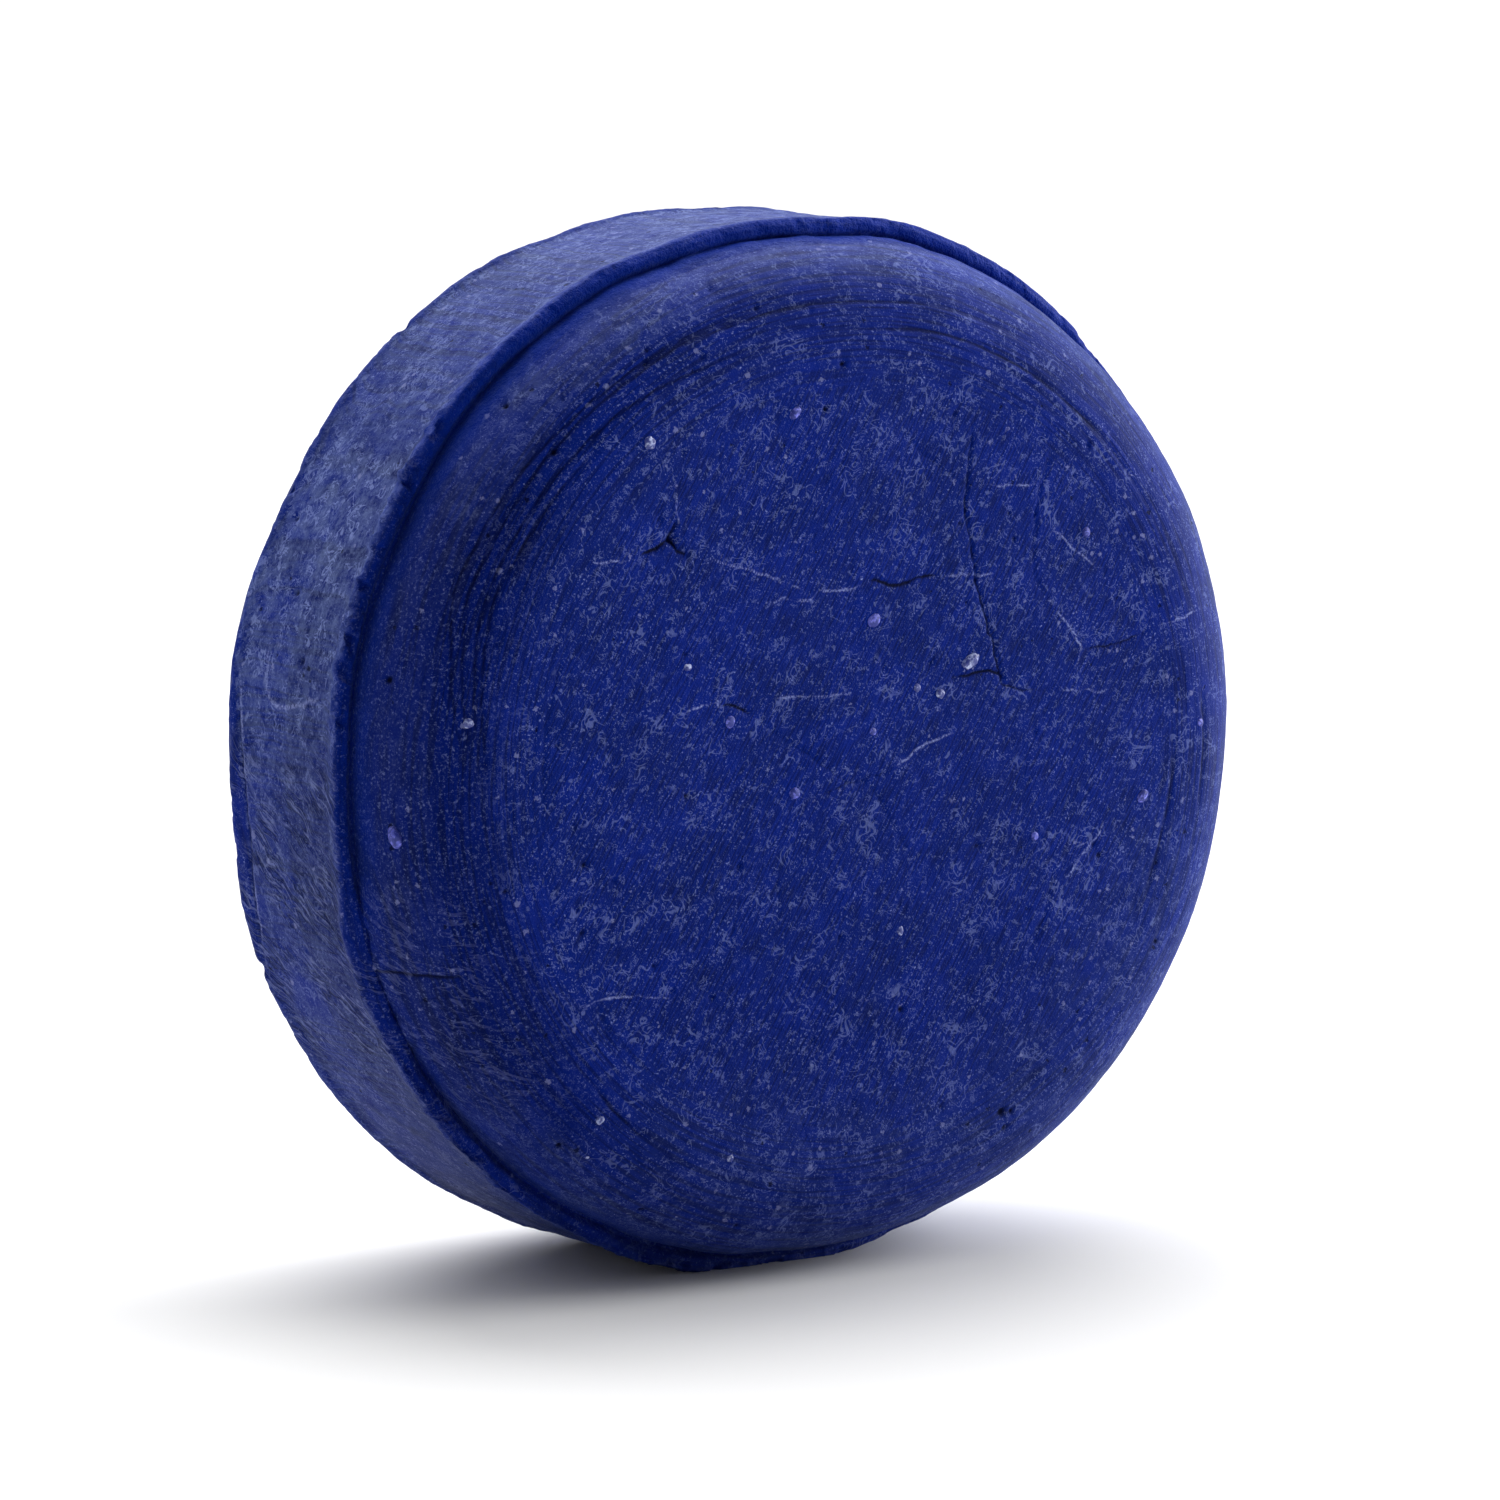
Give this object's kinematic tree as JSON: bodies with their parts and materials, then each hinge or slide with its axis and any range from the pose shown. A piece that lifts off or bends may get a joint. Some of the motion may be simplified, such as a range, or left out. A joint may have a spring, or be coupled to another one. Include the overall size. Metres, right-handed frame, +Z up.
{
  "type": "shaving soap puck",
  "caption": "Round pressed puck of hard shaving soap with domed faces, a side band with thin raised lips and small grains in its face, standing on its rim.",
  "frame": {"origin": "centre of the small flat that the puck stands on, at the bottom of its side band", "axes": "+Z up, Y along the puck's axis with the detailed front face towards -Y, X across the face"},
  "size_m": [0.06, 0.0249, 0.0596],
  "materials": {
    "soap": "hard milled soap, dull with a faint waxy sheen and a dusty bloom on the band",
    "white_grain": "undissolved pale soap grain, matte",
    "blue_grain": "lavender-blue clump of colour, matte"
  },
  "bodies": {
    "root": {"soap_body": "soap", "white_grain_1": "white_grain", "white_grain_2": "white_grain", "white_grain_3": "white_grain", "white_grain_4": "white_grain", "white_grain_5": "white_grain", "white_grain_6": "white_grain", "white_grain_7": "white_grain", "white_grain_8": "white_grain", "white_grain_9": "white_grain", "white_grain_10": "white_grain", "white_grain_11": "white_grain", "white_grain_12": "white_grain", "blue_grain_1": "blue_grain", "blue_grain_2": "blue_grain", "blue_grain_3": "blue_grain", "blue_grain_4": "blue_grain", "blue_grain_5": "blue_grain", "blue_grain_6": "blue_grain", "blue_grain_7": "blue_grain", "blue_grain_8": "blue_grain", "blue_grain_9": "blue_grain", "blue_grain_10": "blue_grain"}
  },
  "joints": []
}
